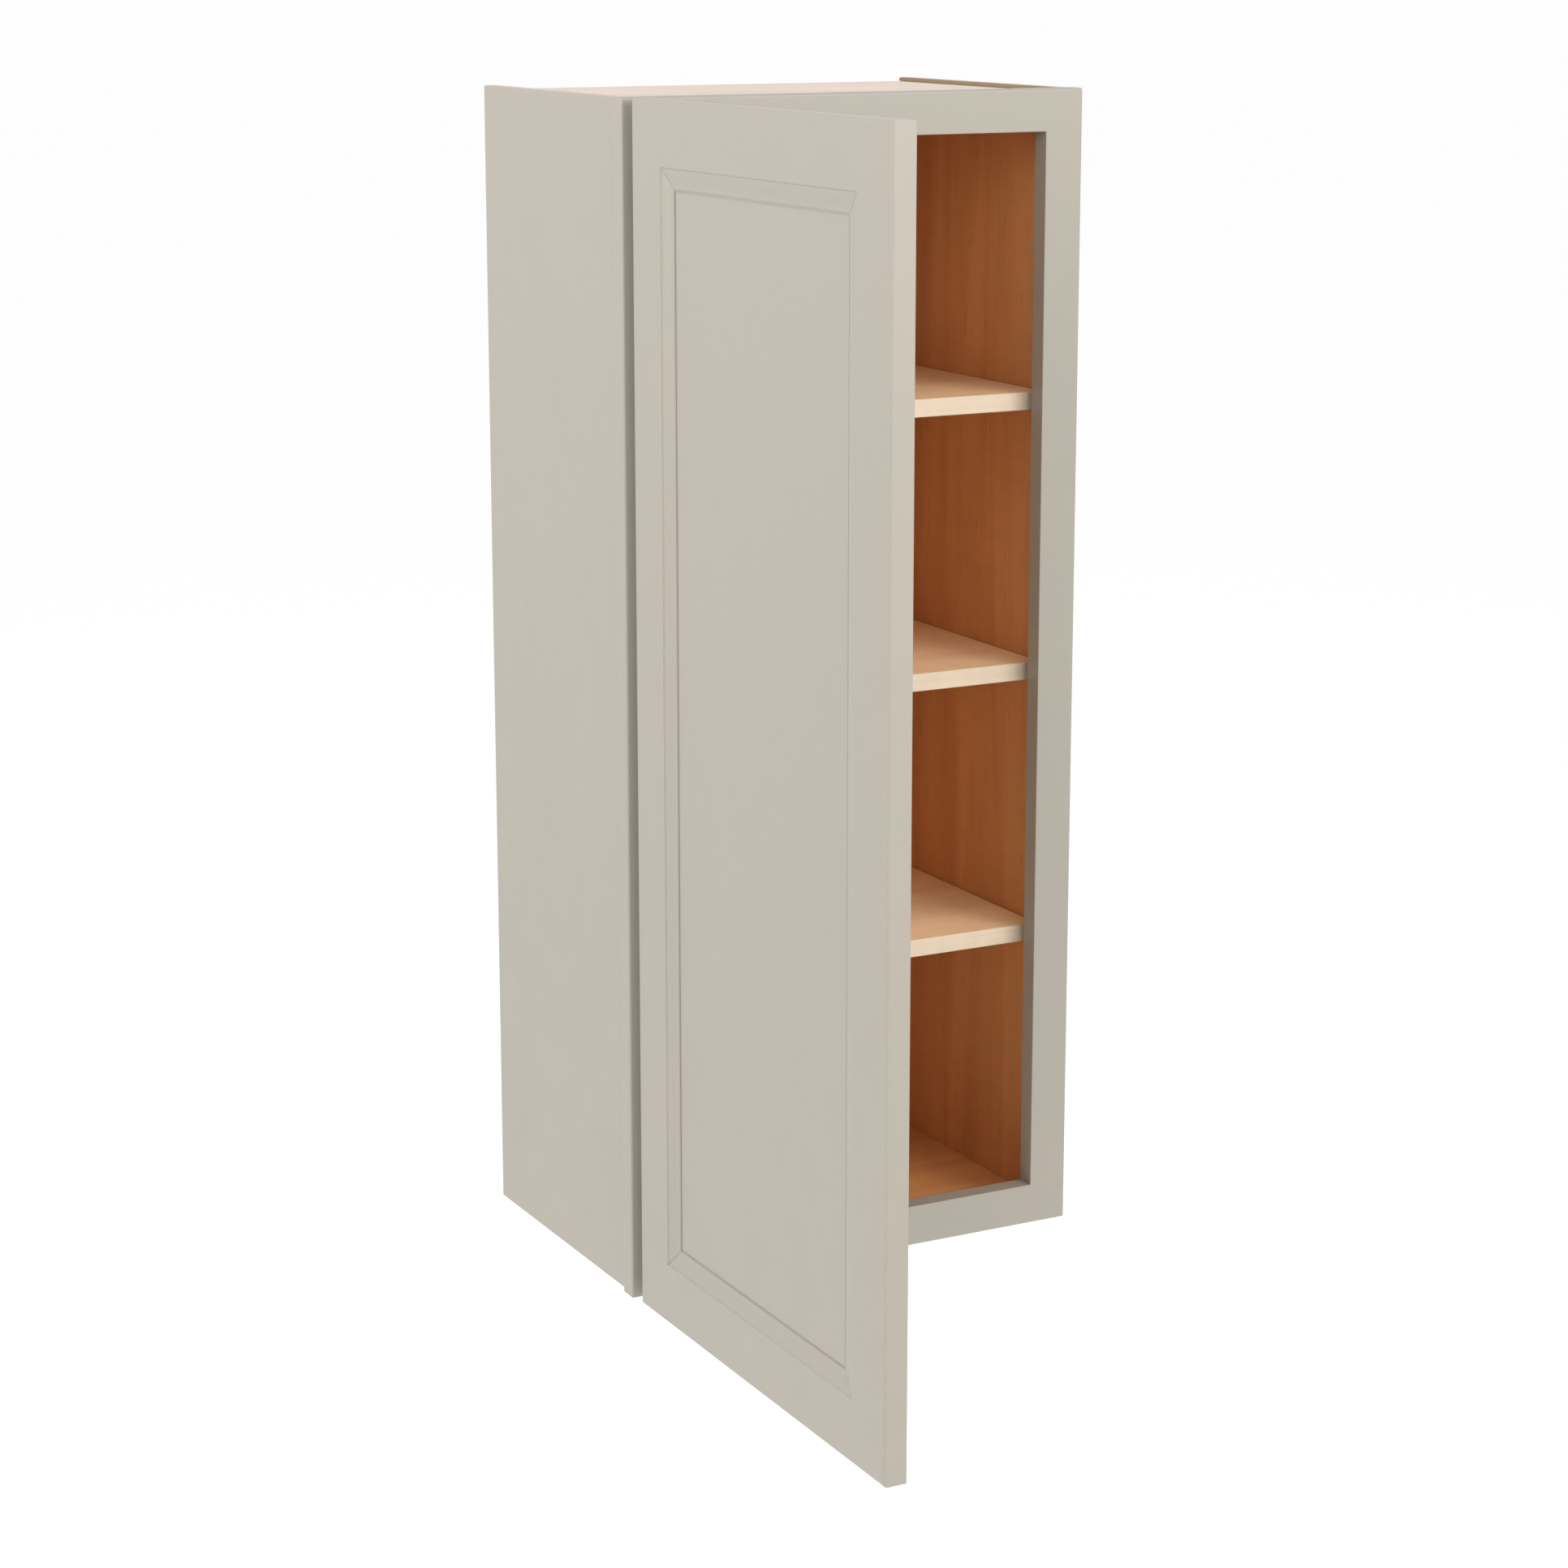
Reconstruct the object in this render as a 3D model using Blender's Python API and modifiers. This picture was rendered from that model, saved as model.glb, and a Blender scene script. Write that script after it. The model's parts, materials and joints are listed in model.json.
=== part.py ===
"""Hanging wall cabinet with a face frame, three loose shelves and one full-overlay door on concealed hinges.

The cabinet hangs on its upper hanging rail: the origin is the centre of that rail's rear face.
+X points to the right, -Y to the front and +Z up. All sizes are in metres.
The door stands open at a right angle, which is its rest position.
"""

import math

import bmesh
import bpy
from mathutils import Matrix, Vector

# ---- Driving dimensions -------------------------------------------------------------------------------

INCH = 0.0254
GAP = 0.0003                      # clearance kept between touching pieces
OVERRUN = 0.002                   # how far a cutter runs past the surface that it cuts

WIDTH = 18 * INCH
HEIGHT = 42 * INCH
DEPTH = 12 * INCH                 # with the face frame, without the door

FRAME_THICKNESS = 0.75 * INCH
FRAME_MEMBER = 1.5 * INCH         # width of the stiles and rails of the face frame
FRAME_ROUNDING = 0.0008
EDGE_ROUNDING = 0.0006            # of the boards behind the frame
THIN_EDGE_ROUNDING = 0.0003       # of the back panel and the door's centre panel

SIDE_THICKNESS = 0.5 * INCH
SIDE_INSET = 3 / 16 * INCH        # how far the sides stand in from the outer edges of the frame
TOP_THICKNESS = 0.5 * INCH
TOP_RECESS = 0.0037               # top panel below the upper edge of the sides
BOTTOM_THICKNESS = 0.5 * INCH
BOTTOM_RECESS = 0.0023            # bottom panel above the lower edge of the sides
DADO_DEPTH = 0.25 * INCH
BACK_THICKNESS = 0.25 * INCH
BACK_GROOVE_DEPTH = 0.005
HANGING_RAIL_HEIGHT = 3 * INCH
HANGING_RAIL_THICKNESS = 0.5 * INCH

SHELF_THICKNESS = 0.0165
SHELF_SIDE_CLEARANCE = 0.001
SHELF_FRONT_SETBACK = 0.0096      # behind the rear face of the frame
SHELF_REAR_CLEARANCE = 0.002
SHELF_TOPS = {"lower": 0.2873, "middle": 0.5396, "upper": 0.7919}    # above the bottom of the cabinet

PIN_RADIUS = 0.0025
PIN_SEAT = 0.008                  # length inside the side panel
PIN_SETBACK = 0.045               # from the shelf's front edge and from its rear edge
PIN_HOLE_RADIUS = 0.0028
PIN_HOLE_DEPTH = 0.0085
PIN_TONGUE = (0.010, 0.009, 0.0018)    # reach, width and thickness of the tongue under the shelf
PIN_ROOT = 0.0024                 # round stretch between the wall and the web
PIN_WEB = 0.0072

DOOR_WIDTH = 17.5 * INCH
DOOR_HEIGHT = HEIGHT
DOOR_THICKNESS = 13 / 16 * INCH
DOOR_REVEAL = 0.25 * INCH         # frame left showing beside the closed door
DOOR_CLOSED_GAP = 0.0015          # between the closed door and the frame
DOOR_FLAT = 2.125 * INCH          # flat part of the stiles and rails
DOOR_MOULDING = 0.75 * INCH       # sloping part, towards the panel
DOOR_ROUNDING = 0.0015
JOINT_SHIFT = 0.00045             # opens the joints between stiles and rails by about GAP
MOULDING_STEP = 0.0011            # depth of the small step at the moulding's outer edge
MOULDING_STEP_WIDTH = 0.0012
MOULDING_DEPTH = 0.0036           # depth at the moulding's inner edge
MOULDING_TOE = 0.0008             # last stretch of the slope, which falls by MOULDING_TOE_FALL
MOULDING_TOE_FALL = 0.0003
MOULDING_WAVE = 0.08              # how far the slope swings about a straight line, as a share of its fall
MOULDING_SEGMENTS = 6
PANEL_FACE_DEPTH = 0.0051         # panel below the door's outer face
PANEL_THICKNESS = 0.25 * INCH
PANEL_GROOVE_DEPTH = 0.0095
PANEL_ENTRY = 0.0085              # how far the panel reaches into the groove

PIVOT_FROM_FRAME_EDGE = 0.0099    # axis on which the door turns, from the frame's left edge
PIVOT_BEFORE_FRAME = 0.0157       # and in front of the frame's front face
DOOR_OPEN_ANGLE = -90.0

CUP_RADIUS = 0.0175
CUP_BORE_RADIUS = 0.0178
CUP_WALL = 0.001
CUP_RIM = 0.001                   # flange left around the cup's mouth
CUP_CORNER = 0.0015               # slope between the cup's side and its floor
CUP_DEPTH = 0.0126
CUP_FROM_DOOR_EDGE = 0.0205       # cup centre from the door's hinge edge
FLANGE_THICKNESS = 0.0009
FLANGE_SIZE = (0.020, 0.062)      # across and along the door's edge
FLANGE_CORNER = 0.007
FLANGE_SCREW_SPACING = 0.048
HINGE_FROM_END = 3.5 * INCH       # outer hinges, from the door's upper and lower ends

LINK_PIVOT_X = 0.0392             # from the frame's left edge
LINK_PIVOT_Y = -0.0069            # from the frame's front face
LINK_LENGTH = 0.0248
LINK_BOW = 0.00395
LINK_BOW_LEAN = 1.44              # over 1 puts the bow's crest past the middle, towards the far end
LINK_SEGMENTS = 14
LINK_WIDTH = 0.0082
LINK_THICKNESS = 0.0016
LINK_EYE_OUTER = 0.0024
LINK_EYE_INNER = 0.0015
LINK_OPEN_ANGLE = 213.9           # direction from its pivot to its far end, with the door open

ARM_THICKNESS = 0.0018
ARM_PLATE = (0.0155, 0.036)       # along the depth and along the height
ARM_PLATE_FRONT = 0.0015          # its front end, behind the frame's front face
ARM_PLATE_CORNER = 0.004
ARM_EAR_THICKNESS = 0.0012
ARM_EAR_RADIUS = 0.0021
ARM_EAR_ROOT = (0.0005, 0.003)    # the ear's root: before the frame's front face, behind the plate's end
ARM_PIN_RADIUS = 0.0012
ARM_PIN_PROUD = 0.0004
ARM_SCREW_SPACING = 0.022

SCREW_RADIUS = 0.0015
SCREW_LENGTH = 0.011
SCREW_HOLE_RADIUS = 0.0018
SCREW_HEAD_RADIUS = 0.0033
SCREW_TAPER = 0.003
SCREW_RECESS = (0.0018, 0.0004)   # half the length and half the width of each arm of the cross
CUP_SCREW_HEAD = 0.0009
ARM_SCREW_HEAD = 0.0018

BUMPER_RADIUS = 0.004
BUMPER_THICKNESS = 0.0008
BUMPER_INSET = 0.019

# ---- Places worked out from them ----------------------------------------------------------------------

FRONT = -DEPTH
FRAME_REAR = FRONT + FRAME_THICKNESS
LEFT = -WIDTH / 2
RIGHT = WIDTH / 2
TOP = TOP_RECESS + TOP_THICKNESS + GAP + HANGING_RAIL_HEIGHT / 2
BOTTOM = TOP - HEIGHT
TOP_PANEL_UPPER = TOP - TOP_RECESS
TOP_PANEL_LOWER = TOP_PANEL_UPPER - TOP_THICKNESS
BOTTOM_PANEL_LOWER = BOTTOM + BOTTOM_RECESS
BOTTOM_PANEL_UPPER = BOTTOM_PANEL_LOWER + BOTTOM_THICKNESS
INNER_HALF = WIDTH / 2 - SIDE_INSET - SIDE_THICKNESS
OPENING_HALF = WIDTH / 2 - FRAME_MEMBER
CARCASS_FRONT = FRAME_REAR + GAP
BACK_REAR = -HANGING_RAIL_THICKNESS - GAP
BACK_FRONT = BACK_REAR - BACK_THICKNESS
SHELF_FRONT = FRAME_REAR + SHELF_FRONT_SETBACK
SHELF_REAR = BACK_FRONT - SHELF_REAR_CLEARANCE
ARM_SCREW_Y = FRONT + ARM_PLATE_FRONT + 0.6 * ARM_PLATE[0]

# The door is drawn closed, from its pivot: x across it, y through it and z up from the cabinet's bottom.
PIVOT = Vector((LEFT + PIVOT_FROM_FRAME_EDGE, FRONT - PIVOT_BEFORE_FRAME, BOTTOM))
DOOR_EDGE = DOOR_REVEAL - PIVOT_FROM_FRAME_EDGE
DOOR_INNER = PIVOT_BEFORE_FRAME - DOOR_CLOSED_GAP
DOOR_OUTER = DOOR_INNER - DOOR_THICKNESS
CUP_X = DOOR_EDGE + CUP_FROM_DOOR_EDGE
HINGE_HEIGHTS = {
    "lower": HINGE_FROM_END,
    "middle": DOOR_HEIGHT / 2,
    "upper": DOOR_HEIGHT - HINGE_FROM_END,
}

# ---- Scene and materials ------------------------------------------------------------------------------

for old in list(bpy.data.objects):
    bpy.data.objects.remove(old, do_unlink=True)

PARTS = bpy.data.collections.new("hanging_wall_cabinet")
CUTTERS = bpy.data.collections.new("cutters")
for group in (PARTS, CUTTERS):
    bpy.context.scene.collection.children.link(group)


def material(name, colour, roughness, metallic=0.0):
    """A plain Principled material."""
    made = bpy.data.materials.new(name)
    made.use_nodes = True
    shader = made.node_tree.nodes["Principled BSDF"]
    shader.inputs["Base Color"].default_value = (*colour, 1.0)
    shader.inputs["Roughness"].default_value = roughness
    shader.inputs["Metallic"].default_value = metallic
    return made


PAINT = material("greige_paint", (0.55, 0.50, 0.43), 0.38)
BARE_MAPLE = material("bare_maple", (0.76, 0.66, 0.55), 0.55)
STAINED_MAPLE = material("stained_maple", (0.35, 0.15, 0.055), 0.45)
SHELF_MAPLE = material("shelf_maple", (0.55, 0.34, 0.19), 0.45)
PLYWOOD = material("plywood", (0.60, 0.44, 0.28), 0.65)
NICKEL = material("nickel", (0.62, 0.60, 0.57), 0.28, 1.0)
ZINC = material("zinc", (0.70, 0.69, 0.66), 0.35, 1.0)
CLEAR_RUBBER = material("clear_rubber", (0.80, 0.80, 0.78), 0.30)


# ---- Shapes -------------------------------------------------------------------------------------------

def add(name, mesh, finish=None, parent=None, location=(0.0, 0.0, 0.0)):
    """Put a mesh in the parts' collection, or in the cutters' where it has no finish."""
    thing = bpy.data.objects.new(name, mesh)
    thing.location = location
    thing.parent = parent
    if finish is None:
        CUTTERS.objects.link(thing)
        thing.display_type = "WIRE"
        thing.hide_render = True
    else:
        PARTS.objects.link(thing)
        if not mesh.materials:
            mesh.materials.append(finish)
    return thing


def box_mesh(name, low, high):
    """A box between two corners."""
    low = Vector(low)
    high = Vector(high)
    work = bmesh.new()
    bmesh.ops.create_cube(work, size=1.0)
    bmesh.ops.scale(work, vec=high - low, verts=work.verts)
    bmesh.ops.translate(work, vec=(high + low) / 2, verts=work.verts)
    mesh = bpy.data.meshes.new(name)
    work.to_mesh(mesh)
    work.free()
    return mesh


def rods_mesh(name, radius, length, places, turn, sides=12):
    """Equal cylinders at the given places, their axis turned from Z by a rotation matrix."""
    work = bmesh.new()
    for place in places:
        bmesh.ops.create_cone(
            work, cap_ends=True, segments=sides, radius1=radius, radius2=radius, depth=length,
            matrix=Matrix.Translation(place) @ turn,
        )
    mesh = bpy.data.meshes.new(name)
    work.to_mesh(mesh)
    work.free()
    return mesh


def outline_mesh(name, points, thickness, placing):
    """A flat outline with a thickness that starts at its own plane, put in place by a matrix."""
    curve = bpy.data.curves.new(name, "CURVE")
    curve.dimensions = "2D"
    curve.fill_mode = "BOTH"
    curve.extrude = thickness / 2
    spline = curve.splines.new("POLY")
    spline.points.add(len(points) - 1)
    for slot, (across, along) in zip(spline.points, points):
        slot.co = (across, along, 0.0, 1.0)
    spline.use_cyclic_u = True
    holder = bpy.data.objects.new(name, curve)
    bpy.context.scene.collection.objects.link(holder)
    depsgraph = bpy.context.evaluated_depsgraph_get()
    mesh = bpy.data.meshes.new_from_object(holder.evaluated_get(depsgraph))
    bpy.data.objects.remove(holder, do_unlink=True)
    bpy.data.curves.remove(curve)
    work = bmesh.new()
    work.from_mesh(mesh)
    bmesh.ops.remove_doubles(work, verts=work.verts, dist=0.00001)
    bmesh.ops.dissolve_limit(work, angle_limit=math.radians(0.5), verts=work.verts, edges=work.edges)
    bmesh.ops.translate(work, vec=(0.0, 0.0, thickness / 2), verts=work.verts)
    bmesh.ops.transform(work, matrix=placing, verts=work.verts)
    bmesh.ops.recalc_face_normals(work, faces=work.faces)
    work.to_mesh(mesh)
    work.free()
    mesh.name = name
    return mesh


def shade(mesh, angle=35.0):
    """Smooth shading with the edges over the angle kept sharp."""
    mesh.shade_smooth()
    mesh.set_sharp_from_angle(angle=math.radians(angle))


def round_all(thing, width, segments=2):
    """Round every edge over 30 degrees."""
    rounding = thing.modifiers.new("rounding", "BEVEL")
    rounding.width = width
    rounding.segments = segments
    rounding.limit_method = "ANGLE"


def round_where(thing, width, chosen, segments=3):
    """Round only the edges whose two ends both pass the test."""
    mesh = thing.data
    weights = mesh.attributes.new("bevel_weight_edge", "FLOAT", "EDGE")
    for edge in mesh.edges:
        ends = [mesh.vertices[index].co for index in edge.vertices]
        weights.data[edge.index].value = 1.0 if chosen(*ends) else 0.0
    rounding = thing.modifiers.new("rounding", "BEVEL")
    rounding.width = width
    rounding.segments = segments
    rounding.limit_method = "WEIGHT"


def combine(thing, other, operation="DIFFERENCE"):
    """Cut another object out of this one, or join it on."""
    step = thing.modifiers.new(operation.lower(), "BOOLEAN")
    step.operation = operation
    step.solver = "EXACT"
    step.object = other


def settled(thing):
    """The mesh of an object with its modifiers worked in; the object itself is removed."""
    bpy.context.view_layer.update()
    depsgraph = bpy.context.evaluated_depsgraph_get()
    mesh = bpy.data.meshes.new_from_object(thing.evaluated_get(depsgraph))
    mesh.name = thing.name
    bpy.data.objects.remove(thing, do_unlink=True)
    return mesh


def turned_mesh(name, profile, steps=24):
    """A solid of revolution about Z; the profile runs down the outer side from the axis to the axis."""
    mesh = bpy.data.meshes.new(name)
    corners = [(radius, 0.0, height) for radius, height in profile]
    mesh.from_pydata(corners, [(i, i + 1) for i in range(len(corners) - 1)], [])
    blank = add(name, mesh)
    turning = blank.modifiers.new("turning", "SCREW")
    turning.steps = steps
    turning.render_steps = steps
    turning.use_merge_vertices = True
    turning.merge_threshold = 0.00001
    result = settled(blank)
    shade(result)
    return result


def empty(name, location, angle, parent=None):
    """A pivot, turned about Z by an angle in degrees."""
    pivot = bpy.data.objects.new(name, None)
    pivot.empty_display_size = 0.03
    pivot.location = location
    pivot.rotation_euler = (0.0, 0.0, math.radians(angle))
    pivot.parent = parent
    PARTS.objects.link(pivot)
    return pivot


ALONG_X = Matrix.Rotation(math.radians(90), 4, "Y")
ALONG_Y = Matrix.Rotation(math.radians(90), 4, "X")
ALONG_Z = Matrix.Identity(4)


def block(name, low, high, finish, rounding=EDGE_ROUNDING, parent=None):
    """A box-shaped piece with its edges broken."""
    piece = add(name, box_mesh(name, low, high), finish, parent)
    round_all(piece, rounding, segments=1)
    return piece


# ---- Face frame ---------------------------------------------------------------------------------------

def face_frame():
    """Two full-height stiles with two rails between them."""
    for side, outer in (("left", LEFT), ("right", RIGHT - FRAME_MEMBER)):
        stile = block(
            f"frame_{side}_stile", (outer, FRONT, BOTTOM), (outer + FRAME_MEMBER, FRAME_REAR, TOP),
            PAINT, FRAME_ROUNDING,
        )
        if side == "left":
            holes = [
                (LEFT + FRAME_MEMBER, ARM_SCREW_Y, BOTTOM + height + offset)
                for height in HINGE_HEIGHTS.values()
                for offset in (-ARM_SCREW_SPACING / 2, ARM_SCREW_SPACING / 2)
            ]
            depth = 2 * (SCREW_LENGTH + GAP)
            drill = rods_mesh("arm_screw_holes", SCREW_HOLE_RADIUS, depth, holes, ALONG_X)
            combine(stile, add("arm_screw_holes", drill))
    for place, low in (("bottom", BOTTOM), ("top", TOP - FRAME_MEMBER)):
        block(
            f"frame_{place}_rail", (-OPENING_HALF + GAP, FRONT, low),
            (OPENING_HALF - GAP, FRAME_REAR, low + FRAME_MEMBER), PAINT, FRAME_ROUNDING,
        )


# ---- Carcass ------------------------------------------------------------------------------------------

def pin_places():
    """Name, wall (-1 left, 1 right), depth and height of each shelf pin's axis."""
    depths = {"front": SHELF_FRONT + PIN_SETBACK, "rear": SHELF_REAR - PIN_SETBACK}
    places = []
    for level, top in SHELF_TOPS.items():
        height = BOTTOM + top - SHELF_THICKNESS - GAP - PIN_RADIUS
        for wall, side in ((-1, "left"), (1, "right")):
            for end, depth in depths.items():
                places.append((f"pin_{level}_{side}_{end}", wall, depth, height))
    return places


def side_panels():
    """Sides with grooves for the top, bottom and back panels and blind holes for the shelf pins."""
    for wall, side in ((-1, "left"), (1, "right")):
        inner = wall * INNER_HALF
        outer = wall * (INNER_HALF + SIDE_THICKNESS)
        panel = block(
            f"{side}_side_panel", (min(inner, outer), CARCASS_FRONT, BOTTOM),
            (max(inner, outer), 0.0, TOP), STAINED_MAPLE,
        )
        grooves = (
            ("top_dado", DADO_DEPTH, FRAME_REAR, DADO_DEPTH, TOP_PANEL_LOWER, TOP_PANEL_UPPER),
            ("bottom_dado", DADO_DEPTH, FRAME_REAR, DADO_DEPTH, BOTTOM_PANEL_LOWER, BOTTOM_PANEL_UPPER),
            (
                "back_groove", BACK_GROOVE_DEPTH, BACK_FRONT - GAP, BACK_REAR + GAP,
                BOTTOM_PANEL_UPPER, TOP_PANEL_LOWER,
            ),
        )
        for label, depth, front, rear, low, high in grooves:
            reach = (inner - wall * OVERRUN, inner + wall * depth)
            tool = f"{side}_{label}"
            cutter = box_mesh(tool, (min(reach), front, low - GAP), (max(reach), rear, high + GAP))
            combine(panel, add(tool, cutter))
        holes = [(inner, depth, height) for _, where, depth, height in pin_places() if where == wall]
        tool = f"{side}_pin_holes"
        drill = rods_mesh(tool, PIN_HOLE_RADIUS, 2 * PIN_HOLE_DEPTH, holes, ALONG_X)
        combine(panel, add(tool, drill))


def flat_panels():
    """Top, bottom and back panels and the two hanging rails behind the back panel."""
    reach = INNER_HALF + DADO_DEPTH - GAP
    block("top_panel", (-reach, CARCASS_FRONT, TOP_PANEL_LOWER), (reach, 0.0, TOP_PANEL_UPPER), BARE_MAPLE)
    block(
        "bottom_panel", (-reach, CARCASS_FRONT, BOTTOM_PANEL_LOWER), (reach, 0.0, BOTTOM_PANEL_UPPER),
        STAINED_MAPLE,
    )
    reach = INNER_HALF + BACK_GROOVE_DEPTH - GAP
    block(
        "back_panel", (-reach, BACK_FRONT, BOTTOM_PANEL_UPPER + GAP),
        (reach, BACK_REAR, TOP_PANEL_LOWER - GAP), STAINED_MAPLE, THIN_EDGE_ROUNDING,
    )
    reach = INNER_HALF - GAP
    for place, low in (
        ("lower", BOTTOM_PANEL_UPPER + GAP),
        ("upper", TOP_PANEL_LOWER - GAP - HANGING_RAIL_HEIGHT),
    ):
        block(
            f"{place}_hanging_rail", (-reach, -HANGING_RAIL_THICKNESS, low),
            (reach, 0.0, low + HANGING_RAIL_HEIGHT), PLYWOOD,
        )


def shelves():
    """Three loose shelves, each on four pins."""
    reach = INNER_HALF - SHELF_SIDE_CLEARANCE
    for level, top in SHELF_TOPS.items():
        upper = BOTTOM + top
        block(
            f"shelf_{level}", (-reach, SHELF_FRONT, upper - SHELF_THICKNESS), (reach, SHELF_REAR, upper),
            SHELF_MAPLE,
        )


def pin_mesh():
    """A shelf pin along X: a round peg, a flat tongue under the shelf and a web below the tongue."""
    reach, width, thickness = PIN_TONGUE
    length = PIN_SEAT + PIN_ROOT
    centre = (length / 2 - PIN_SEAT, 0.0, 0.0)
    peg = add("shelf_pin", rods_mesh("shelf_pin", PIN_RADIUS, length, [centre], ALONG_X), ZINC)
    tongue = box_mesh("pin_tongue", (GAP, -width / 2, PIN_RADIUS - thickness), (reach, width / 2, PIN_RADIUS))
    web_top = PIN_RADIUS - thickness / 2
    web = box_mesh("pin_web", (GAP, -thickness / 2, -PIN_RADIUS), (PIN_WEB, thickness / 2, web_top))
    for label, mesh in (("pin_tongue", tongue), ("pin_web", web)):
        combine(peg, add(label, mesh), "UNION")
    mesh = settled(peg)
    shade(mesh)
    return mesh


def shelf_pins():
    """Twelve pins; a pin on the right wall is turned to face left."""
    shared = pin_mesh()
    for name, wall, depth, height in pin_places():
        pin = add(name, shared, ZINC, location=(wall * INNER_HALF, depth, height))
        pin.rotation_euler = (0.0, 0.0, math.pi if wall > 0 else 0.0)


# ---- Door ---------------------------------------------------------------------------------------------

def moulding_points():
    """The moulding in section: distance across from the flat part, and depth below the outer face."""
    points = [(0.0, 0.0), (0.35 * MOULDING_STEP_WIDTH, 0.65 * MOULDING_STEP)]
    slope = DOOR_MOULDING - MOULDING_TOE - MOULDING_STEP_WIDTH
    fall = MOULDING_DEPTH - MOULDING_TOE_FALL - MOULDING_STEP
    for step in range(MOULDING_SEGMENTS + 1):
        part = step / MOULDING_SEGMENTS
        swing = MOULDING_WAVE * math.sin(2 * math.pi * part)
        points.append((MOULDING_STEP_WIDTH + slope * part, MOULDING_STEP + fall * (part + swing)))
    points.append((DOOR_MOULDING - MOULDING_TOE / 4, MOULDING_DEPTH))
    points.append((DOOR_MOULDING + OVERRUN, MOULDING_DEPTH))
    return points


def door_member(name, length, outline, placing, parent):
    """A stile or rail: its outline, with the moulding and the panel's groove run along its inner edge.

    Before placing, x runs from the outer edge towards the panel, y along the piece and z inwards.
    """
    piece = add(name, outline_mesh(name, outline, DOOR_THICKNESS, Matrix.Identity(4)), PAINT)
    along = Matrix(((1, 0, 0, 0), (0, 0, 1, -OVERRUN), (0, 1, 0, 0), (0, 0, 0, 1)))
    run = length + 2 * OVERRUN
    past_edge = DOOR_FLAT + DOOR_MOULDING + OVERRUN
    router = [(DOOR_FLAT + across, depth) for across, depth in moulding_points()]
    router += [(past_edge, -OVERRUN), (DOOR_FLAT, -OVERRUN)]
    groove_floor = DOOR_FLAT + DOOR_MOULDING - PANEL_GROOVE_DEPTH
    groove_front = PANEL_FACE_DEPTH - GAP
    groove_rear = PANEL_FACE_DEPTH + PANEL_THICKNESS + GAP
    groove = [
        (groove_floor, groove_front), (past_edge, groove_front),
        (past_edge, groove_rear), (groove_floor, groove_rear),
    ]
    full_length = name.endswith("stile")

    def close(first, second):
        return abs(first - second) < 0.0001

    def on_outline_edge(first, second):
        """True on the door's own outer edges: along the member, and across the ends of a stile."""
        along_side = close(first.x, 0.0) and close(second.x, 0.0)
        at_end = any(close(first.y, end) and close(second.y, end) for end in (0.0, length))
        return close(first.z, second.z) and (along_side or full_length and at_end)

    round_where(piece, DOOR_ROUNDING, on_outline_edge)
    for label, points in (("router", router), ("groove", groove)):
        tool = f"{name}_{label}"
        combine(piece, add(tool, outline_mesh(tool, points, run, along)))
    mesh = settled(piece)
    work = bmesh.new()
    work.from_mesh(mesh)
    bmesh.ops.transform(work, matrix=placing, verts=work.verts)
    bmesh.ops.recalc_face_normals(work, faces=work.faces)
    work.to_mesh(mesh)
    work.free()
    shade(mesh, 20.0)
    return add(name, mesh, PAINT, parent)


def door(pivot):
    """Five pieces: two stiles, two rails and the centre panel, all drawn closed from the pivot."""
    flat = DOOR_FLAT
    inner = DOOR_FLAT + DOOR_MOULDING
    stile = [
        (0, 0), (flat, 0), (flat, flat), (inner, inner), (inner, DOOR_HEIGHT - inner),
        (flat, DOOR_HEIGHT - flat), (flat, DOOR_HEIGHT), (0, DOOR_HEIGHT),
    ]
    start = flat + JOINT_SHIFT
    finish = DOOR_WIDTH - start
    rail = [
        (0, start), (flat, start), (inner, start + DOOR_MOULDING), (inner, finish - DOOR_MOULDING),
        (flat, finish), (0, finish),
    ]
    far = DOOR_EDGE + DOOR_WIDTH
    hinge_side = Matrix(((1, 0, 0, DOOR_EDGE), (0, 0, 1, DOOR_OUTER), (0, 1, 0, 0), (0, 0, 0, 1)))
    free_side = Matrix(((-1, 0, 0, far), (0, 0, 1, DOOR_OUTER), (0, 1, 0, 0), (0, 0, 0, 1)))
    low_side = Matrix(((0, 1, 0, DOOR_EDGE), (0, 0, 1, DOOR_OUTER), (1, 0, 0, 0), (0, 0, 0, 1)))
    high_side = Matrix(((0, 1, 0, DOOR_EDGE), (0, 0, 1, DOOR_OUTER), (-1, 0, 0, DOOR_HEIGHT), (0, 0, 0, 1)))
    hinge_stile = door_member("door_hinge_stile", DOOR_HEIGHT, stile, hinge_side, pivot)
    door_member("door_free_stile", DOOR_HEIGHT, stile, free_side, pivot)
    door_member("door_bottom_rail", DOOR_WIDTH, rail, low_side, pivot)
    door_member("door_top_rail", DOOR_WIDTH, rail, high_side, pivot)
    edge = inner - PANEL_ENTRY
    block(
        "door_centre_panel", (DOOR_EDGE + edge, DOOR_OUTER + PANEL_FACE_DEPTH, edge),
        (far - edge, DOOR_OUTER + PANEL_FACE_DEPTH + PANEL_THICKNESS, DOOR_HEIGHT - edge), PAINT,
        THIN_EDGE_ROUNDING, pivot,
    )
    drill_hinge_stile(hinge_stile, pivot)
    bumpers(pivot, far)


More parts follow.
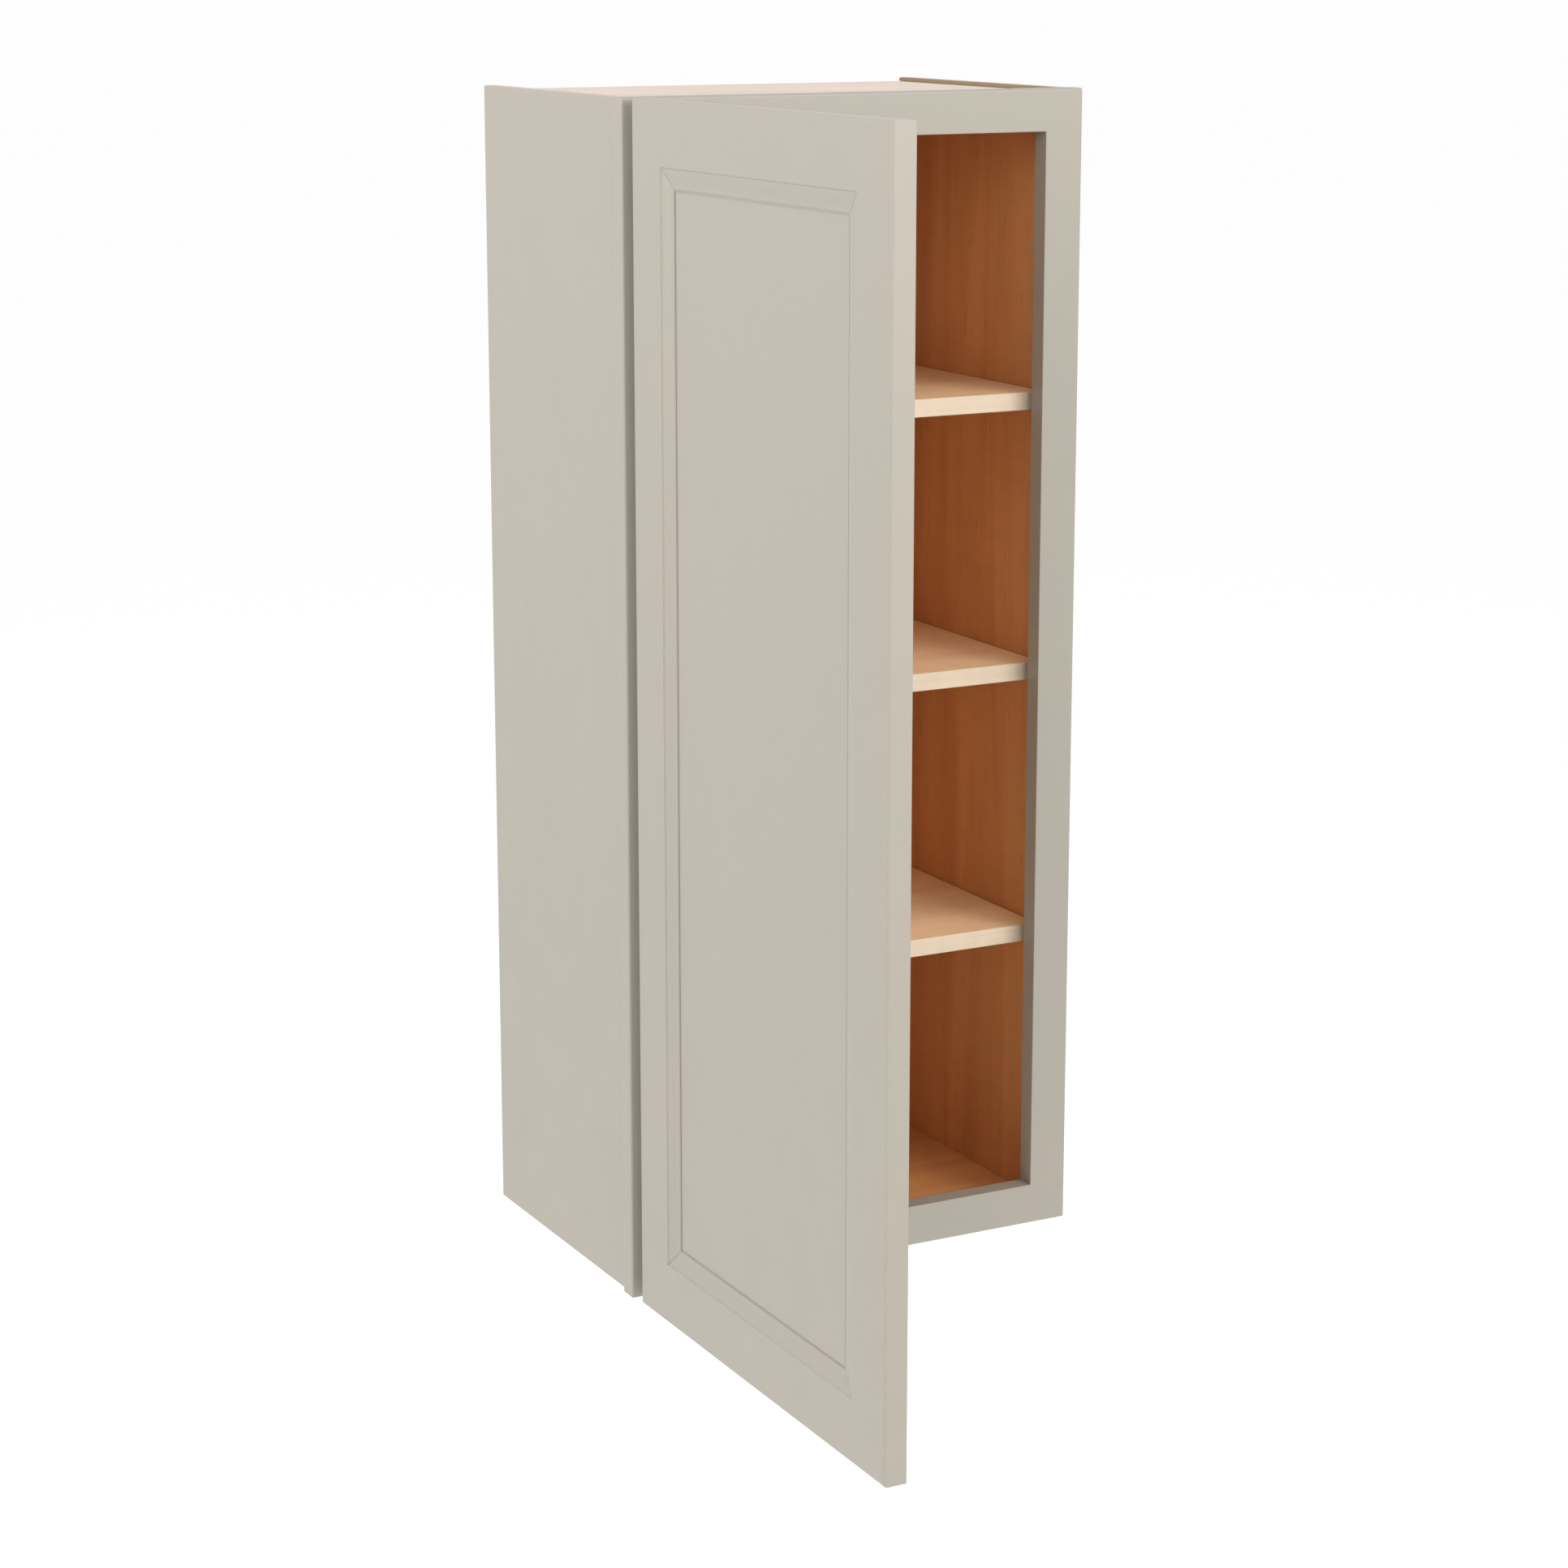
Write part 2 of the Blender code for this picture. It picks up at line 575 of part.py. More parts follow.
def drill_hinge_stile(stile, pivot):
    """Bores for the hinge cups and holes for their screws."""
    centres = [(CUP_X, DOOR_INNER, height) for height in HINGE_HEIGHTS.values()]
    depth = 2 * (CUP_DEPTH + GAP)
    bores = rods_mesh("cup_bores", CUP_BORE_RADIUS, depth, centres, ALONG_Y, 32)
    combine(stile, add("cup_bores", bores, parent=pivot))
    holes = [
        (CUP_X, DOOR_INNER, height + offset)
        for height in HINGE_HEIGHTS.values()
        for offset in (-FLANGE_SCREW_SPACING / 2, FLANGE_SCREW_SPACING / 2)
    ]
    drill = rods_mesh("cup_screw_holes", SCREW_HOLE_RADIUS, 2 * (SCREW_LENGTH + GAP), holes, ALONG_Y)
    combine(stile, add("cup_screw_holes", drill, parent=pivot))


def bumpers(pivot, far):
    """Two soft dots on the free corners of the door's inner face."""
    profile = [(0.0, BUMPER_THICKNESS), (0.5 * BUMPER_RADIUS, 0.9 * BUMPER_THICKNESS),
               (0.85 * BUMPER_RADIUS, 0.6 * BUMPER_THICKNESS), (BUMPER_RADIUS, 0.0), (0.0, 0.0)]
    shared = turned_mesh("bumper", profile, 16)
    for place, height in (("lower", BUMPER_INSET), ("upper", DOOR_HEIGHT - BUMPER_INSET)):
        corner = (far - BUMPER_INSET, DOOR_INNER + GAP, height)
        dot = add(f"bumper_{place}", shared, CLEAR_RUBBER, pivot, corner)
        dot.rotation_euler = (math.radians(-90), 0.0, 0.0)


# ---- Hinges and screws --------------------------------------------------------------------------------

def screw_mesh(name, head_height, head_below):
    """A wood screw along -Z with its head at the origin, and a cross recess in the head."""
    neck = SCREW_RADIUS
    tip = -SCREW_LENGTH
    if head_below:
        head = [(0.0, 0.0), (SCREW_HEAD_RADIUS, 0.0), (0.94 * SCREW_HEAD_RADIUS, -head_height / 3),
                (neck, -head_height)]
    else:
        head = [(0.0, head_height), (0.6 * SCREW_HEAD_RADIUS, 0.9 * head_height),
                (0.9 * SCREW_HEAD_RADIUS, 0.55 * head_height), (SCREW_HEAD_RADIUS, GAP), (neck, GAP)]
    profile = head + [(neck, tip + SCREW_TAPER), (0.0, tip)]
    body = add(name, turned_mesh(name, profile, 12), ZINC)
    top = 0.0 if head_below else head_height
    floor = top - 0.6 * head_height
    for label, (half_x, half_y) in (("recess_x", SCREW_RECESS), ("recess_y", SCREW_RECESS[::-1])):
        tool = f"{name}_{label}"
        slot = box_mesh(tool, (-half_x, -half_y, floor), (half_x, half_y, top + OVERRUN))
        combine(body, add(tool, slot))
    mesh = settled(body)
    shade(mesh)
    return mesh


def cup_mesh():
    """A hinge cup drawn about Z, which points out of the door: a pan with a flange and two screw wings."""
    lift = GAP
    top = lift + FLANGE_THICKNESS
    pan = turned_mesh("hinge_cup", [
        (0.0, top), (CUP_RADIUS + CUP_RIM, top), (CUP_RADIUS + CUP_RIM, lift), (CUP_RADIUS, lift),
        (CUP_RADIUS, -CUP_DEPTH + CUP_CORNER), (CUP_RADIUS - CUP_CORNER, -CUP_DEPTH), (0.0, -CUP_DEPTH),
    ], 32)
    cup = add("hinge_cup", pan, NICKEL)
    across, along = FLANGE_SIZE
    plate = box_mesh("cup_wings", (-across / 2, -along / 2, lift), (across / 2, along / 2, top))
    wings = add("cup_wings", plate)
    round_where(wings, FLANGE_CORNER, lambda a, b: abs(a.z - b.z) > FLANGE_THICKNESS / 2, 5)
    combine(cup, wings, "UNION")
    inner = CUP_RADIUS - CUP_WALL
    floor = -CUP_DEPTH + CUP_WALL
    hollow = turned_mesh("cup_hollow", [
        (0.0, top + OVERRUN), (inner, top + OVERRUN), (inner, floor + CUP_WALL),
        (inner - CUP_WALL, floor), (0.0, floor),
    ], 32)
    combine(cup, add("cup_hollow", hollow))
    places = [(0.0, -FLANGE_SCREW_SPACING / 2, top), (0.0, FLANGE_SCREW_SPACING / 2, top)]
    room = SCREW_HEAD_RADIUS + GAP
    combine(cup, add("cup_wing_holes", rods_mesh("cup_wing_holes", room, 2 * OVERRUN, places, ALONG_Z)))
    mesh = settled(cup)
    shade(mesh)
    return mesh


def arm_mesh():
    """A hinge arm about its link pivot, on Z: a plate on the stile's edge, two ears and the pivot pin."""
    inner_face = FRAME_MEMBER + GAP - LINK_PIVOT_X
    front = ARM_PLATE_FRONT - LINK_PIVOT_Y
    depth, height = ARM_PLATE
    low = (inner_face, front, -height / 2)
    high = (inner_face + ARM_THICKNESS, front + depth, height / 2)
    arm = add("hinge_arm", box_mesh("hinge_arm", low, high), NICKEL)
    round_where(arm, ARM_PLATE_CORNER, lambda a, b: abs(a.x - b.x) > ARM_THICKNESS / 2, 4)
    ear_inner = LINK_WIDTH / 2 + GAP
    ear_outer = ear_inner + ARM_EAR_THICKNESS
    nose = [(-math.pi / 2 + step * math.pi / 8) for step in range(-4, 5)]
    outline = [(ARM_EAR_RADIUS * math.cos(a), ARM_EAR_RADIUS * math.sin(a)) for a in nose]
    before, behind = ARM_EAR_ROOT
    outline += [
        (inner_face + ARM_THICKNESS - GAP, front + behind), (inner_face + GAP, front + behind),
        (inner_face + GAP, front - ARM_PLATE_FRONT - before),
    ]
    for label, base in (("lower", -ear_outer), ("upper", ear_inner)):
        tool = f"arm_ear_{label}"
        ear = outline_mesh(tool, outline, ARM_EAR_THICKNESS, Matrix.Translation((0.0, 0.0, base)))
        combine(arm, add(tool, ear), "UNION")
    span = 2 * (ear_outer + ARM_PIN_PROUD)
    rivet = rods_mesh("arm_pin", ARM_PIN_RADIUS, span, [(0.0, 0.0, 0.0)], ALONG_Z, 14)
    combine(arm, add("arm_pin", rivet), "UNION")
    screw_y = ARM_SCREW_Y - FRONT - LINK_PIVOT_Y
    holes = [(inner_face, screw_y, -ARM_SCREW_SPACING / 2), (inner_face, screw_y, ARM_SCREW_SPACING / 2)]
    drill = rods_mesh("arm_holes", SCREW_HOLE_RADIUS + GAP, 4 * ARM_THICKNESS, holes, ALONG_X)
    combine(arm, add("arm_holes", drill))
    mesh = settled(arm)
    shade(mesh)
    return mesh


def link_mesh():
    """A bowed strip with a curled eye on Z, running along X from its pivot."""
    start = LINK_EYE_INNER + LINK_THICKNESS / 4

    def bow(x):
        return LINK_BOW * math.sin(math.pi * (x / LINK_LENGTH) ** LINK_BOW_LEAN)

    xs = [start + (LINK_LENGTH - start) * step / LINK_SEGMENTS for step in range(LINK_SEGMENTS + 1)]
    half = LINK_THICKNESS / 2
    strip = [(x, bow(x) + half) for x in xs] + [(x, bow(x) - half) for x in reversed(xs)]
    base = Matrix.Translation((0.0, 0.0, -LINK_WIDTH / 2))
    link = add("hinge_link", outline_mesh("hinge_link", strip, LINK_WIDTH, base), NICKEL)
    eye = rods_mesh("link_eye", LINK_EYE_OUTER, LINK_WIDTH, [(0.0, 0.0, 0.0)], ALONG_Z, 24)
    combine(link, add("link_eye", eye), "UNION")
    bore = rods_mesh("link_bore", LINK_EYE_INNER, 2 * LINK_WIDTH, [(0.0, 0.0, 0.0)], ALONG_Z, 24)
    combine(link, add("link_bore", bore))
    mesh = settled(link)
    shade(mesh)
    return mesh


def hinges(door_pivot):
    """Three concealed hinges, each a cup in the door, an arm on the stile and a link between them."""
    cup = cup_mesh()
    arm = arm_mesh()
    link = link_mesh()
    flat_screw = screw_mesh("flat_screw", CUP_SCREW_HEAD, True)
    pan_screw = screw_mesh("pan_screw", ARM_SCREW_HEAD, False)
    for level, height in HINGE_HEIGHTS.items():
        pan = add(f"hinge_cup_{level}", cup, NICKEL, door_pivot, (CUP_X, DOOR_INNER, height))
        pan.rotation_euler = (math.radians(-90), 0.0, 0.0)
        pivot = (LEFT + LINK_PIVOT_X, FRONT + LINK_PIVOT_Y, BOTTOM + height)
        add(f"hinge_arm_{level}", arm, NICKEL, location=pivot)
        joint = empty(f"link_pivot_{level}", pivot, LINK_OPEN_ANGLE)
        add(f"hinge_link_{level}", link, NICKEL, joint)
        for number, side in ((1, -1), (2, 1)):
            offset = side * FLANGE_SCREW_SPACING / 2
            place = (CUP_X, DOOR_INNER + GAP + FLANGE_THICKNESS, height + offset)
            fixing = add(f"cup_screw_{level}_{number}", flat_screw, ZINC, door_pivot, place)
            fixing.rotation_euler = (math.radians(-90), 0.0, 0.0)
            offset = side * ARM_SCREW_SPACING / 2
            place = (LEFT + FRAME_MEMBER + GAP + ARM_THICKNESS, ARM_SCREW_Y, BOTTOM + height + offset)
            fixing = add(f"arm_screw_{level}_{number}", pan_screw, ZINC, location=place)
            fixing.rotation_euler = (0.0, math.radians(90), 0.0)


# ---- Build --------------------------------------------------------------------------------------------

face_frame()
side_panels()
flat_panels()
shelves()
shelf_pins()
door_pivot = empty("door_pivot", PIVOT, DOOR_OPEN_ANGLE)
door(door_pivot)
hinges(door_pivot)
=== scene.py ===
"""Looks of the hanging wall cabinet: finer boards, a seamless face frame and door, materials, light and camera.

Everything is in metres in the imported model's frame: +X to the right, -Y to the front, +Z up, with the origin
on the rear face of the upper hanging rail. The door rests open at a right angle, so its outer face looks left.
"""

import json
import math

import bmesh
import bpy
from mathutils import Matrix, Vector

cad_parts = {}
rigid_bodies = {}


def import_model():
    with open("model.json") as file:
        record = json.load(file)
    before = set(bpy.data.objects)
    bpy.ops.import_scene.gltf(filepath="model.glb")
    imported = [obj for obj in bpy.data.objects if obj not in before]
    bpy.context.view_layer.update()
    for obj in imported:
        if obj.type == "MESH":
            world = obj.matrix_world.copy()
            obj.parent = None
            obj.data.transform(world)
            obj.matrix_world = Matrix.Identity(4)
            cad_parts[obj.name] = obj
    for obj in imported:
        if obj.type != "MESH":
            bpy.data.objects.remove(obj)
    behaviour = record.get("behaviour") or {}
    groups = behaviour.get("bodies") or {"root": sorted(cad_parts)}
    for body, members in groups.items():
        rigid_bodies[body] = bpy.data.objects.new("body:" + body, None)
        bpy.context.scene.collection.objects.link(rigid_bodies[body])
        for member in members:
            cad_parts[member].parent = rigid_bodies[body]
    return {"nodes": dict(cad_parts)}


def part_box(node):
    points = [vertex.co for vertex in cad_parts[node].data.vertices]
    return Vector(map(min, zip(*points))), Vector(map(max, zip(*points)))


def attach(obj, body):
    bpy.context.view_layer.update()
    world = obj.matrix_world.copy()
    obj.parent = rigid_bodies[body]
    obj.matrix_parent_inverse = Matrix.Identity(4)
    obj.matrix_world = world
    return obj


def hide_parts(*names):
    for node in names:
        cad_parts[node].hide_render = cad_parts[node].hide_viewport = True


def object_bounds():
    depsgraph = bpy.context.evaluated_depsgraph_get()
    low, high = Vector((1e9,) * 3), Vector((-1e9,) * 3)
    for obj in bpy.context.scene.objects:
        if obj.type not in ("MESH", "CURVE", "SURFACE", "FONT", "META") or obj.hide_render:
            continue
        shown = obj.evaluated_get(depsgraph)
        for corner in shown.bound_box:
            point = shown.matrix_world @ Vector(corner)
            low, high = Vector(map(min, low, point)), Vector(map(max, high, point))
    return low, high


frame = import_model()
cad_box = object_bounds()

# ---- Sizes --------------------------------------------------------------------------------------------

GAP = 0.0003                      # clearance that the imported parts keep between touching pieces
SEAT = 0.00005                    # clearance between the door's panel and the lip that covers its edge
OVERRUN = 0.002                   # how far a cutter runs past the surface that it cuts

FRAME_ROUNDING = 0.0022           # on the face frame's outer edges
OPENING_ROUNDING = 0.0008         # around its opening
FOLD_ANGLE = 60.0                 # the frame's edges are rounded where the surface turns by more than this
SIDE_ROUNDING = 0.0018
BOARD_ROUNDING = 0.0010
SHELF_ROUNDING = 0.0010
PANEL_ROUNDING = 0.0003           # on the back panel and the door's centre panel

DOOR_FLAT = 0.053975              # flat part of the stiles and rails
DOOR_MOULDING = 0.01905           # sloping part, towards the panel
DOOR_ROUNDING = 0.0027            # around the door's outer face
DOOR_REAR_ROUNDING = 0.0008
STEP_WIDTH = 0.0014               # the soft step at the moulding's outer edge
STEP_DEPTH = 0.0012
STEP_POINTS = 5
SLOPE_POINTS = 16
SLOPE_WAVE = 0.65                 # share of the slope's fall that follows a wave, steepest in its middle
LIP_DEPTH = 0.0041                # depth of the moulding at its inner edge
QUIRK_WIDTH = 0.0010              # fine groove between the slope and the bead beside the panel
QUIRK_DEPTH = 0.00045
BEAD_WIDTH = 0.0007
MITRE_HALF = 0.0004               # half the width of the line where two mouldings meet
MITRE_DEPTH = 0.0004
GROOVE_DEPTH = 0.0095             # of the groove that holds the door's panel

CUP_BORE_RADIUS = 0.0178
CUP_BORE_DEPTH = 0.0129
SCREW_HOLE_RADIUS = 0.0018
SCREW_HOLE_DEPTH = 0.0113
PIN_HOLE_RADIUS = 0.0028
PIN_HOLE_DEPTH = 0.0085
BACK_GROOVE_DEPTH = 0.005

HANGING_HEIGHT = 1.372            # bottom of the cabinet above the room's floor
FLOOR_SIZE = 900.0

CAMERA_PLACE = Vector((-1.5118, -3.0387, 0.1783))
CAMERA_YAW = 27.735               # clockwise from the +Y axis
CAMERA_PITCH = 12.054             # below the horizon
CAMERA_LENS = 81.6
CAMERA_SHIFT = -0.05

LAMPS = (                         # name, place from the cabinet's middle, size, power in watts
    ("left_light", (-2.6, -2.2, 1.2), 1.8, 36.0),
    ("rear_left_light", (-2.6, 0.9, 1.2), 1.6, 45.0),
    ("front_light", (0.3, -3.4, 0.6), 1.8, 23.0),
    ("top_light", (-0.6, -1.2, 2.6), 1.6, 9.0),
    ("right_light", (1.1, -2.5, 1.4), 1.3, 42.0),
)

PLY_LIGHT = (0.56, 0.47, 0.375)   # long grain in the edge of plywood
PLY_DARK = (0.40, 0.31, 0.22)     # end grain

LEVELS = ("lower", "middle", "upper")

DIRECTIONS = {
    "left": Vector((-1, 0, 0)), "right": Vector((1, 0, 0)),
    "front": Vector((0, -1, 0)), "rear": Vector((0, 1, 0)),
    "bottom": Vector((0, 0, -1)), "top": Vector((0, 0, 1)),
}

ALONG_X = Matrix.Rotation(math.radians(90), 4, "Y")


# ---- Node materials -----------------------------------------------------------------------------------

class Finish:
    """A Principled material, with short calls for the nodes that drive it."""

    def __init__(self, name, roughness=0.5, metallic=0.0):
        self.material = bpy.data.materials.new(name)
        self.material.use_nodes = True
        self.tree = self.material.node_tree
        self.surface = self.tree.nodes["Principled BSDF"]
        self.place = self.node("ShaderNodeTexCoord").outputs["Object"]
        self.give("Roughness", roughness)
        self.give("Metallic", metallic)

    def node(self, kind, **settings):
        """A new node with the given settings."""
        made = self.tree.nodes.new(kind)
        for key, value in settings.items():
            setattr(made, key, value)
        return made

    def feed(self, socket, value):
        """Set a socket to a number or colour, or link another socket to it."""
        if isinstance(value, bpy.types.NodeSocket):
            self.tree.links.new(value, socket)
        elif isinstance(value, tuple):
            socket.default_value = (*value, 1.0)
        else:
            socket.default_value = value

    def give(self, name, value):
        """Feed one of the shader's own sockets."""
        self.feed(self.surface.inputs[name], value)

    def stretched(self, scale):
        """The object's coordinates, multiplied by a number for each axis."""
        mapping = self.node("ShaderNodeMapping")
        mapping.inputs["Scale"].default_value = scale
        self.feed(mapping.inputs["Vector"], self.place)
        return mapping.outputs["Vector"]

    def noise(self, vector, scale=1.0, detail=2.0, roughness=0.5, distortion=0.0):
        """Noise from 0 to 1, with most of it between 0.3 and 0.7."""
        texture = self.node("ShaderNodeTexNoise")
        self.feed(texture.inputs["Vector"], vector)
        for socket, value in (
            ("Scale", scale), ("Detail", detail), ("Roughness", roughness), ("Distortion", distortion),
        ):
            texture.inputs[socket].default_value = value
        return texture.outputs["Fac"]

    def span(self, value, low, high, first=0.0, last=1.0):
        """Map a value from low..high to first..last, held at the ends."""
        mapped = self.node("ShaderNodeMapRange")
        for socket, amount in zip(mapped.inputs, (value, low, high, first, last)):
            self.feed(socket, amount)
        return mapped.outputs["Result"]

    def calculate(self, operation, first, second=0.0):
        """The result of a Math node."""
        step = self.node("ShaderNodeMath", operation=operation)
        self.feed(step.inputs[0], first)
        self.feed(step.inputs[1], second)
        return step.outputs["Value"]

    def mix(self, factor, first, second, blend="MIX"):
        """The first colour with a share of the second blended in."""
        blended = self.node("ShaderNodeMix", data_type="RGBA", blend_type=blend)
        colours = [socket for socket in blended.inputs if socket.type == "RGBA"]
        self.feed(blended.inputs["Factor"], factor)
        self.feed(colours[0], first)
        self.feed(colours[1], second)
        return next(socket for socket in blended.outputs if socket.type == "RGBA")

    def times(self, tone, factor):
        """A colour made darker or lighter by a factor."""
        return self.mix(1.0, tone, factor, "MULTIPLY")

    def bump(self, height, distance, strength=1.0):
        """Relief from a height of 0 to 1, over a distance in metres."""
        raised = self.node("ShaderNodeBump")
        raised.inputs["Strength"].default_value = strength
        raised.inputs["Distance"].default_value = distance
        self.feed(raised.inputs["Height"], height)
        self.give("Normal", raised.outputs["Normal"])


def scaled(colour, factor):
    """A colour multiplied by a number."""
    return tuple(factor * part for part in colour)


def paint(name, colour, tint):
    """Satin paint: a faint drift between two close tones, sprayed texture and uneven gloss."""
    made = Finish(name)
    drift = made.noise(made.place, scale=7.0, detail=3.0, roughness=0.55)
    tone = made.mix(made.span(drift, 0.35, 0.65), colour, tint)
    speck = made.noise(made.place, scale=900.0)
    made.give("Base Color", made.times(tone, made.span(speck, 0.3, 0.7, 0.975, 1.02)))
    gloss = made.noise(made.place, scale=22.0, detail=4.0, roughness=0.6)
    made.give("Roughness", made.span(gloss, 0.3, 0.7, 0.36, 0.46))
    peel = made.noise(made.place, scale=420.0, roughness=0.4)
    made.bump(peel, 0.00004)
    return made.material


def veneer(name, light, dark, axis, roughness=(0.38, 0.52), figure=0.55, fleck=0.30):
    """Maple veneer with its grain along one axis: broad figure, fine lines, short flecks and soft blotches."""
    made = Finish(name)

    def grained(across, along):
        """Coordinates for a pattern with this many waves a metre across and along the grain."""
        scale = [across] * 3
        scale[axis] = along
        return made.stretched(scale)

    reach = 0.11 / figure
    broad = made.noise(grained(16.0, 1.3), detail=3.0, distortion=1.3)
    tone = made.mix(made.span(broad, 0.5 - reach, 0.5 + reach), light, dark)
    blotch = made.noise(grained(9.0, 4.0))
    tone = made.times(tone, made.span(blotch, 0.3, 0.7, 0.93, 1.06))
    lines = made.noise(grained(520.0, 7.0), detail=4.0, roughness=0.65)
    tone = made.times(tone, made.span(lines, 0.3, 0.7, 0.94, 1.04))
    curl = made.noise(grained(30.0, 85.0), detail=1.0)
    tone = made.times(tone, made.span(curl, 0.3, 0.7, 0.975, 1.02))
    dashes = made.noise(grained(300.0, 46.0), detail=1.0)
    mark = made.span(dashes, 0.66, 0.76, 0.0, fleck)
    made.give("Base Color", made.mix(mark, tone, scaled(dark, 0.5)))
    made.give("Roughness", made.span(lines, 0.25, 0.75, *roughness))
    made.bump(lines, 0.00005, 0.6)
    return made.material


def plies(name, axis, node, count=5):
    """The edge of plywood: thin layers across the board, every second one end grain, with dark glue lines."""
    low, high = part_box(node)
    made = Finish(name, roughness=0.68)
    split = made.node("ShaderNodeSeparateXYZ")
    made.feed(split.inputs["Vector"], made.place)
    waver = made.noise(made.place, scale=60.0, detail=3.0)
    depth = made.span(split.outputs[axis], low[axis], high[axis], 0.0, float(count))
    layer = made.calculate("ADD", depth, made.span(waver, 0.0, 1.0, -0.12, 0.12))
    second = made.calculate("PINGPONG", layer, 1.0)
    pores = made.noise(made.place, scale=1400.0, roughness=0.7)
    long_grain = made.mix(made.span(pores, 0.35, 0.75, 0.0, 0.35), PLY_LIGHT, PLY_DARK)
    end_grain = made.mix(made.span(pores, 0.35, 0.65, 0.35, 1.0), PLY_LIGHT, PLY_DARK)
    tone = made.mix(made.span(second, 0.42, 0.58), long_grain, end_grain)
    from_joint = made.calculate("ABSOLUTE", made.calculate("SUBTRACT", second, 0.5))
    glue = made.span(from_joint, 0.0, 0.09, 0.45, 0.0)
    made.give("Base Color", made.mix(glue, tone, scaled(PLY_DARK, 0.45)))
    made.bump(pores, 0.00012, 0.7)
    return made.material


def metal(name, colour, roughness, streaks):
    """Plated metal with fine streaks and a slightly clouded surface."""
    made = Finish(name, metallic=1.0)
    cloud = made.noise(made.place, scale=90.0)
    made.give("Base Color", made.mix(made.span(cloud, 0.35, 0.65), colour, scaled(colour, 0.94)))
    brushed = made.noise(made.stretched(streaks))
    made.give("Roughness", made.span(brushed, 0.3, 0.7, roughness - 0.03, roughness + 0.05))
    made.bump(brushed, 0.000004, 0.5)
    return made.material


def rubber():
    """Clear soft plastic with a faint haze."""
    made = Finish("clear_rubber_dots")
    haze = made.noise(made.place, scale=500.0)
    made.give("Base Color", made.mix(made.span(haze, 0.3, 0.7), (0.80, 0.80, 0.77), (0.68, 0.68, 0.65)))
    made.give("Roughness", made.span(haze, 0.3, 0.7, 0.18, 0.34))
    made.give("Transmission Weight", 0.45)
    made.give("IOR", 1.45)
    return made.material


def studio_floor():
    """Plain pale floor with hardly any texture."""
    made = Finish("studio_floor", roughness=0.9)
    cloud = made.noise(made.place, scale=0.6)
    made.give("Base Color", made.mix(made.span(cloud, 0.3, 0.7), (0.987, 0.987, 0.987), (0.988, 0.988, 0.988)))
    made.give("Specular IOR Level", 0.1)
    return made.material


PAINT = paint("greige_satin_paint", (0.285, 0.258, 0.216), (0.278, 0.2585, 0.2165))
INTERIOR_UPRIGHT = veneer("stained_maple_upright", (0.63, 0.305, 0.119), (0.52, 0.230, 0.085), 2)
INTERIOR_LEVEL = veneer("stained_maple_level", (0.63, 0.305, 0.119), (0.52, 0.230, 0.085), 0)
SHELF_FACE = veneer("shelf_maple_face", (0.88, 0.61, 0.37), (0.80, 0.535, 0.31), 0, figure=0.4, fleck=0.15)
SHELF_BAND = veneer("shelf_edge_band", (0.575, 0.465, 0.345), (0.52, 0.415, 0.30), 0, figure=0.3, fleck=0.08)
BARE_LEVEL = veneer("bare_maple_level", (0.585, 0.480, 0.405), (0.53, 0.43, 0.355), 0, (0.5, 0.62), 0.35, 0.10)
BARE_UPRIGHT = veneer("bare_maple_upright", (0.55, 0.43, 0.31), (0.48, 0.36, 0.25), 2, (0.5, 0.62), 0.4, 0.15)
RAW_STRIP = veneer("unfinished_strip", (0.209, 0.148, 0.077), (0.174, 0.120, 0.061), 1, (0.6, 0.7), 0.5, 0.2)
RAIL_FACE = veneer("plywood_face", (0.52, 0.41, 0.28), (0.44, 0.33, 0.21), 0, (0.55, 0.68), 0.6, 0.25)
NICKEL = metal("nickel_plate", (0.70, 0.685, 0.655), 0.32, (60.0, 700.0, 700.0))
ZINC = metal("zinc_plate", (0.68, 0.685, 0.69), 0.36, (400.0, 400.0, 90.0))
RUBBER = rubber()


# ---- Mesh helpers -------------------------------------------------------------------------------------

def finished_mesh(work, name):
    """A mesh from a bmesh, which is freed."""
    mesh = bpy.data.meshes.new(name)
    work.to_mesh(mesh)
    work.free()
    return mesh


def block_mesh(name, low, high, rounding=0.0, segments=3):
    """A box between two corners, with rounded edges."""
    low = Vector(low)
    high = Vector(high)
    work = bmesh.new()
    bmesh.ops.create_cube(work, size=1.0)
    bmesh.ops.scale(work, vec=high - low, verts=work.verts)
    bmesh.ops.translate(work, vec=(high + low) / 2, verts=work.verts)
    if rounding:
        bmesh.ops.bevel(
            work, geom=work.edges[:], offset=rounding, segments=segments, profile=0.5, affect="EDGES",
        )
    return finished_mesh(work, name)


def rods_mesh(name, radius, length, places, turn, sides):
    """Equal cylinders at the given places, their axis turned from Z by a rotation matrix."""
    work = bmesh.new()
    for place in places:
        bmesh.ops.create_cone(
            work, cap_ends=True, segments=sides, radius1=radius, radius2=radius, depth=length,
            matrix=Matrix.Translation(place) @ turn,
        )
    return finished_mesh(work, name)


def join_rings(work, rings):
    """Faces from each ring of vertices to the next, and from the last to the first."""
    for ring, following in zip(rings, rings[1:] + rings[:1]):
        for place in range(len(ring)):
            after = (place + 1) % len(ring)
            work.faces.new((ring[place], ring[after], following[after], following[place]))
    bmesh.ops.recalc_face_normals(work, faces=work.faces)


def in_fixed_order(elements, place):
    """Sort vertices or faces by their place, because a bevel leaves them in an order that varies."""
    for number, element in enumerate(sorted(elements, key=lambda element: tuple(place(element)))):
        element.index = number
    elements.sort()


